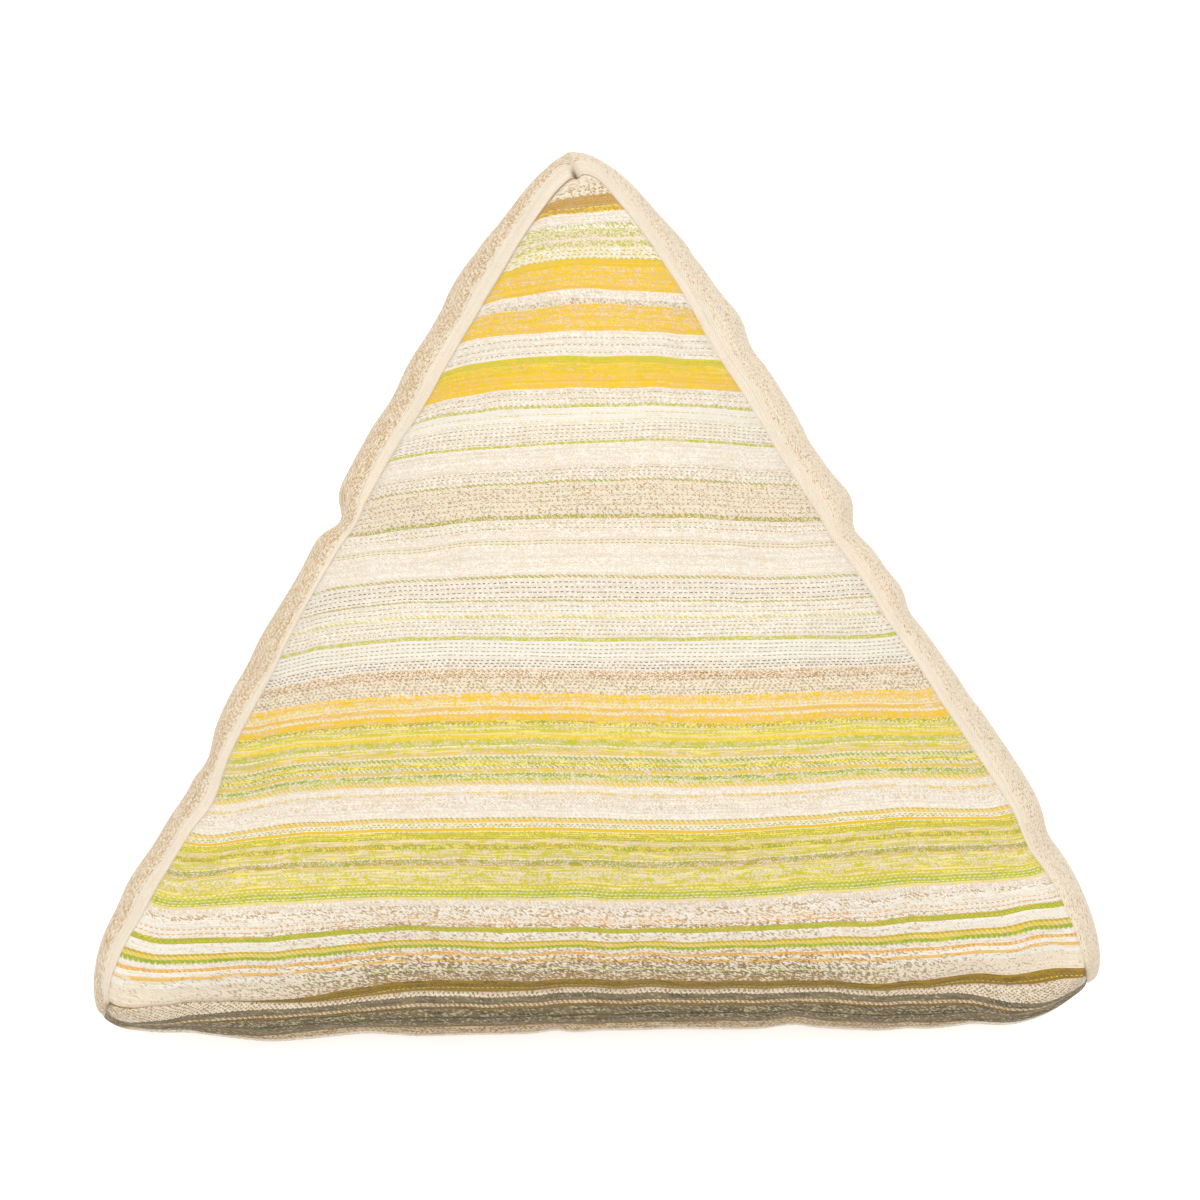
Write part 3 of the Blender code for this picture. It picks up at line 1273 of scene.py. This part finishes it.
        # A yarn's colour goes over to its neighbour's on stretches of a pick
        stretch = self.noise((along, row * cloth.drift_step), cloth.drift_scale)
        step = 1.0 / len(YARNS)
        first = self.palette(ground + (stretch < cloth.drift_under) * step)
        second = self.palette(fleck + (stretch > cloth.drift_over) * step)
        # The second yarn is never all on top, so some of the ground comes through it, by
        # another even random value for each float
        again = (random * cloth.redraw).fraction()
        colour = self.mix(shows * (again * cloth.cover_range + cloth.cover_least), first, second)
        # Warp ends bind the picks down in slanting rows of fine pale stitches
        place = (along / cloth.stitch + row * cloth.stitch_step
                 + self.white(Draw.STITCH, row) * cloth.stitch_wander)
        stitch = (place.fraction() < cloth.stitch_share) * (again * cloth.stitch_range
                                                            + cloth.stitch_least)
        return self.mix(stitch, colour, self.palette(yarn_level(Yarn.WARP))), shows, random

    def finish(self) -> None:
        """Shade the colour by the relief and the seams, and put it on a shader."""
        cloth, along, row = self.cloth, self.along, self.row
        colour, shows, random = self.colour()
        round_yarn = abs(self.picks.fraction() - 0.5) ** 2.0 * -cloth.roundness + 1.0
        ridge = abs((along / cloth.twill_along + self.up / cloth.twill_up).fraction() - 0.5)
        mottle = self.noise(self.place, cloth.mottle_scale, cloth.mottle_detail)
        streak = self.noise((along * cloth.streak_along, row * cloth.streak_step), cloth.streak_scale)
        # Painted shade: darker between the round picks and in the twill's furrows; the mottle, floats,
        # streaks and picks are the yarn's own tone
        tone = round_yarn
        # How much each part tells, and the tone where it is 0
        for part, (amount, least) in ((mottle, cloth.mottle_tone), (ridge, cloth.ridge_tone),
                                      (random, cloth.float_tone), (streak, cloth.streak_tone),
                                      (self.white(Draw.TONE, row), cloth.pick_tone)):
            tone = tone * (part * amount + least)
        colour = self.mix(1.0, colour, self.vector(tone, tone, tone), "MULTIPLY")
        # Painted shade along the seams, in the bottom boxing's fold and in the corner slits, first brown
        # and then dark. To a power, a shade that falls off over one face of the mesh is a fine line
        node = self.add("ShaderNodeAttribute", attribute_name="painted_shade")
        painted_shade = Wire(self, node.outputs["Fac"])
        for power, shade in ((cloth.brown_shade_power, cloth.brown_seam_shade),
                             (cloth.shadow_power, cloth.seam_shadow)):
            colour = self.mix(painted_shade ** power, colour, shade)
        bump = self.add("ShaderNodeBump", {
            "Strength": cloth.bump_strength, "Distance": cloth.bump_distance,
            "Height": round_yarn + shows * cloth.float_height + ridge})
        shader = self.add("ShaderNodeBsdfPrincipled", {
            "Base Color": colour, "Normal": Wire(self, bump.outputs[0]), "Roughness": 0.92,
            "Specular IOR Level": 0.25, "Sheen Weight": 0.12, "Sheen Roughness": 0.5})
        self.add("ShaderNodeOutputMaterial", {"Surface": Wire(self, shader.outputs[0])})


def get_rows(data: bpy.types.bpy_prop_collection, field: str, width: int = 1) -> Array:
    """A field of mesh data as an array, with rows where it is wider than one value."""
    values = np.empty(len(data) * width, np.float32)
    data.foreach_get(field, values)
    return (values.reshape(-1, width) if width > 1 else values).astype(float)


def set_rows(data: bpy.types.bpy_prop_collection, field: str, values: Array) -> None:
    """Write an array into a field of mesh data."""
    data.foreach_set(field, values.astype(np.float32).ravel())


@dataclass(frozen=True)
class Filling:
    """The cloth simulation that fills the sewn cushion.

    The cloth is cut a little larger than the empty shape, and its seams and resting spot
    are held. Most is how far it may carry a point of a panel.
    """
    frames: int = 20
    pressure: float = 4.0
    mass: float = 0.3
    stiffness: float = 60.0
    shear: float = 18.0
    bending: float = 0.4
    quality: int = 6
    ease: float = 0.007
    slack: float = 0.93
    most: float = 0.0035
    held: float = 0.0003

    def settings(self, pillow: Object) -> None:
        """Add the Cloth modifier: pressure inside, no gravity, seams held by their group."""
        cloth = pillow.modifiers.new("filling", "CLOTH")
        for name, value in dict(
                quality=self.quality, mass=self.mass, tension_stiffness=self.stiffness,
                compression_stiffness=self.stiffness, shear_stiffness=self.shear,
                bending_stiffness=self.bending, use_pressure=True,
                uniform_pressure_force=self.pressure, shrink_min=-self.ease,
                shrink_max=-self.ease, vertex_group_mass="held").items():
            setattr(cloth.settings, name, value)
        cloth.settings.effector_weights.gravity = 0.0
        cloth.collision_settings.use_collision = False
        cloth.collision_settings.use_self_collision = False
        cloth.point_cache.frame_start, cloth.point_cache.frame_end = 1, self.frames

    def fill(self, pillow: Object) -> None:
        """Run the simulation and keep its last frame as the mesh's own shape.

        The further a point is carried, the more of its way is held back.

        Args:
            pillow: The cushion, in its finished shape.
        """
        mesh = pillow.data
        slack, seam_distance, give = [
            get_rows(mesh.attributes[name].data, "vector" if width > 1 else "value", width)
            for name, width in (("slack", 3), ("seam_distance", 1), ("give", 1))]
        most = self.most * give[:, None]
        finished = get_rows(mesh.vertices, "co", 3)
        pillow.shape_key_add(name="finished")
        start = pillow.shape_key_add(name="slack")
        set_rows(start.data, "co", slack)
        start.value = 1.0
        held = np.flatnonzero((seam_distance < self.held) | (finished[:, 2] < self.held))
        pillow.vertex_groups.new(name="held").add(held.tolist(), 1.0, "REPLACE")
        self.settings(pillow)
        scene = bpy.context.scene
        for number in range(1, self.frames + 1):
            scene.frame_set(number)
        filled = pillow.evaluated_get(bpy.context.evaluated_depsgraph_get()).to_mesh()
        move = get_rows(filled.vertices, "co", 3) - finished
        pillow.modifiers.clear()
        pillow.shape_key_clear()
        pillow.vertex_groups.clear()
        scene.frame_set(1)
        length = np.linalg.norm(move, axis=1, keepdims=True)
        move *= most * np.tanh(length / most) / np.maximum(length, 1e-9)
        points = finished + move
        points[:, 2] = np.maximum(points[:, 2], 0.0)
        log.info("filling: moved %.1f mm at most, %.1f mm on average",
                 1000 * np.abs(move).max(), 1000 * np.linalg.norm(move, axis=1).mean())
        set_rows(mesh.vertices, "co", points)
        mesh.update()


@dataclass
class Pillow:
    """The filled cushion as one closed mesh, sewn from its five pieces of cloth."""
    pattern: SewingPattern
    cloth: StripedCloth
    filling: Filling
    steps: int = 48
    across_steps: int = 22
    weld: float = 0.00002
    tightness: float = 0.85

    def grids(self) -> List[Grid]:
        """All pieces of cloth, in place."""
        grids = [grid for front, slack in ((True, self.filling.slack), (False, 1.0))
                 for grid in Panel(self.pattern, front, self.steps, slack).grids()]
        return grids + [BoxingStrip(self.pattern, side, self.steps, self.across_steps).grid()
                        for side in range(3)]

    def origin(self, grids: Sequence[Grid]) -> Array:
        """Where the pattern's own origin lies on the floor, from the middle of the node's box."""
        points = np.concatenate([grid.points.reshape(-1, 3) for grid in grids])
        low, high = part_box(NODE)
        middle = (points.min(axis=0) + points.max(axis=0)) / 2
        return ((np.array(low) + np.array(high)) / 2 - middle)[:2]

    def sewn(self, grids: Sequence[Grid]) -> Mesh:
        """Lay the pieces edge to edge, set them down on the floor and join them.

        Args:
            grids: The pieces of cloth.

        Returns:
            One closed mesh, with its places on the cloth as UV map and its point attributes.
        """
        quads, offset = [], 0
        for grid in grids:
            rows, columns = grid.points.shape[:2]
            index = offset + np.arange(rows * columns).reshape(rows, columns)
            quads.append(np.stack([index[:-1, :-1], index[1:, :-1], index[1:, 1:], index[:-1, 1:]],
                                  axis=-1).reshape(-1, 4))
            offset += rows * columns
        quads = np.concatenate(quads)
        laid = {name: np.concatenate([getattr(grid, name).reshape(-1, width) for grid in grids])
                for name, width in {"points": 3, "cloth": 2, **POINT_VALUES}.items()}
        floor = laid["points"][:, 2].min() + self.pattern.rest_depth
        for name in ("points", "slack"):
            laid[name][:, 2] = self.pattern.press_flat(laid[name][:, 2] - floor)
            laid[name][:, :2] += self.origin(grids)

        mesh = bpy.data.meshes.new("pillow")
        mesh.from_pydata(laid["points"].tolist(), [], quads.tolist())
        set_rows(mesh.uv_layers.new(name="cloth").data, "uv", laid["cloth"][quads.ravel()])
        for name, width in POINT_VALUES.items():
            kind, field = ("FLOAT_VECTOR", "vector") if width > 1 else ("FLOAT", "value")
            set_rows(mesh.attributes.new(name, kind, "POINT").data, field, laid[name])
        sewing = bmesh.new()
        sewing.from_mesh(mesh)
        bmesh.ops.remove_doubles(sewing, verts=sewing.verts, dist=self.weld)
        bmesh.ops.recalc_face_normals(sewing, faces=sewing.faces)
        sewing.to_mesh(mesh)
        sewing.free()
        return mesh

    def corner_places(self) -> Array:
        """Where the front seam's three corners lie, from the pattern's own origin."""
        places = []
        for corner in range(3):
            flat, shift = self.pattern.panel_place(corner, np.zeros(1), np.zeros(1))
            places.append((flat + shift + self.pattern.pucker_shift(flat)[0])[0])
        return np.array(places)

    def turn_in_seams(self, mesh: Mesh, origin: Array) -> None:
        """Sink the cloth along its seams and folds and into the slits at the corners.

        Every point moves inward, square to the surface, by its own groove depth. A slit is a
        long hump turned inward, with painted shade in the cloth's colour along it.

        Args:
            mesh: The finished mesh.
            origin: Where the pattern's own origin lies on the floor.
        """
        points, normals = [get_rows(mesh.vertices, name, 3) for name in ("co", "normal")]
        depth, painted_shade = [get_rows(mesh.attributes[name].data, "value") for name in ("groove", "painted_shade")]
        above = points[:, 2] > self.pattern.seam_gap / 2
        corners = self.corner_places()
        for pit in PITS:
            away = points[:, :2] - corners[pit.corner] - origin
            turn = math.radians(pit.direction)
            way = np.array([math.cos(turn), math.sin(turn)])
            out, beside = away @ way, away @ np.array([-way[1], way[0]])
            length = np.where(out > 0, pit.length, pit.width)
            hump = np.where(above, bell(out / length) * bell(beside / pit.width), 0.0)
            depth += pit.depth * hump
            # Painted shade in the slit
            painted_shade = np.maximum(painted_shade, pit.dark * hump)
        points -= depth[:, None] * normals
        points[:, 2] = np.maximum(points[:, 2], 0.0)
        set_rows(mesh.vertices, "co", points)
        set_rows(mesh.attributes["painted_shade"].data, "value", painted_shade)
        for name in POINT_VALUES:
            if name != "painted_shade":
                mesh.attributes.remove(mesh.attributes[name])
        mesh.update()

    def round_off(self, pillow: Object) -> None:
        """Subdivide the mesh once and keep the result as the object's own mesh."""
        smooth = pillow.modifiers.new("round_off", "SUBSURF")
        smooth.levels = smooth.render_levels = 1
        depsgraph = bpy.context.evaluated_depsgraph_get()
        finer = bpy.data.meshes.new_from_object(pillow.evaluated_get(depsgraph))
        pillow.modifiers.clear()
        rough = pillow.data
        pillow.data = finer
        bpy.data.meshes.remove(rough)

    def build(self) -> Object:
        """Sew the cushion, fill it, round it off and turn in its seams.

        Returns:
            The finished cushion.
        """
        grids = self.grids()
        pillow = bpy.data.objects.new("pillow", self.sewn(grids))
        bpy.context.scene.collection.objects.link(pillow)
        self.filling.fill(pillow)
        self.round_off(pillow)
        self.turn_in_seams(pillow.data, self.origin(grids))
        pillow.data.shade_smooth()
        pillow.data.materials.clear()
        pillow.data.materials.append(self.cloth.make())
        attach(pillow, "root")
        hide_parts(NODE)
        return pillow


@dataclass(frozen=True)
class Studio:
    """Pale floor, soft light and the camera at the photo's angle."""
    target: Tuple[float, float, float] = (0.00660, -0.00945, 0.07488)
    distance: float = 2.2
    tilt: float = math.radians(9.0)
    roll: float = math.radians(1.74)
    frame_width: float = 0.57994
    sensor: float = 36.0
    floor_half: float = 4.0
    floor_glow: float = 0.32
    sky: float = 0.60
    light_size: float = 3.0
    key_place: Tuple[float, float, float] = (0.15, 1.1, 3.4)
    key_power: float = 84.0
    fill_place: Tuple[float, float, float] = (-0.3, -0.9, 3.4)
    fill_power: float = 36.0

    def show(self, name: str, data: bpy.types.ID) -> Object:
        """Put an object with its data into the scene."""
        thing = bpy.data.objects.new(name, data)
        bpy.context.scene.collection.objects.link(thing)
        return thing

    def floor(self) -> None:
        """A wide pale floor at z = 0 that glows a little, like a light table."""
        half = self.floor_half
        mesh = bpy.data.meshes.new("floor")
        mesh.from_pydata([(-half, -half, 0), (half, -half, 0), (half, half, 0), (-half, half, 0)],
                         [], [(0, 1, 2, 3)])
        material = bpy.data.materials.new("pale_floor")
        material.use_nodes = True
        inputs = material.node_tree.nodes["Principled BSDF"].inputs
        inputs["Base Color"].default_value = (0.92, 0.92, 0.92, 1.0)
        inputs["Roughness"].default_value = 0.9
        inputs["Emission Color"].default_value = (1.0, 1.0, 1.0, 1.0)
        inputs["Emission Strength"].default_value = self.floor_glow
        mesh.materials.append(material)
        self.show("floor", mesh)

    def light(self, name: str, place: Sequence[float], power: float) -> None:
        """A square soft light that points at the pillow."""
        lamp = bpy.data.lights.new(name, "AREA")
        lamp.size, lamp.energy = self.light_size, power
        holder = self.show(name, lamp)
        holder.location = place
        aim = Vector(self.target) - Vector(place)
        holder.rotation_euler = aim.to_track_quat("-Z", "Y").to_euler()

    def lights(self) -> None:
        """A large light from the apex side, a weaker one from the bottom side, and a pale sky."""
        self.light("key_light", self.key_place, self.key_power)
        self.light("fill_light", self.fill_place, self.fill_power)
        world = bpy.data.worlds.new("pale_sky")
        world.use_nodes = True
        sky = world.node_tree.nodes["Background"]
        sky.inputs["Color"].default_value = (1.0, 1.0, 1.0, 1.0)
        sky.inputs["Strength"].default_value = self.sky
        bpy.context.scene.world = world

    def camera(self) -> None:
        """The camera, tilted towards the bottom side and rolled as in the photo."""
        data = bpy.data.cameras.new("photo_camera")
        data.sensor_width = self.sensor
        data.lens = self.sensor * self.distance / self.frame_width
        holder = self.show("photo_camera", data)
        back = Vector((0.0, -math.sin(self.tilt), math.cos(self.tilt)))
        place = Vector(self.target) + self.distance * back
        turn = Matrix.Rotation(self.tilt, 4, "X") @ Matrix.Rotation(-self.roll, 4, "Z")
        holder.matrix_world = Matrix.Translation(place) @ turn
        bpy.context.scene.camera = holder

    def set_up(self) -> None:
        """Build floor, lights and camera, and show colours plainly."""
        self.floor()
        self.lights()
        self.camera()
        bpy.context.scene.view_settings.view_transform = "Standard"


def main() -> None:
    """Build the pillow and its studio, and report each."""
    logging.basicConfig(level=logging.INFO, format="%(name)s: %(message)s")
    pillow = Pillow(SewingPattern(), StripedCloth(), Filling()).build()
    log.info("%s: %d faces", pillow.name, len(pillow.data.polygons))
    Studio().set_up()
    log.info("studio: floor, two lights and camera")


if __name__ == "__main__":
    main()
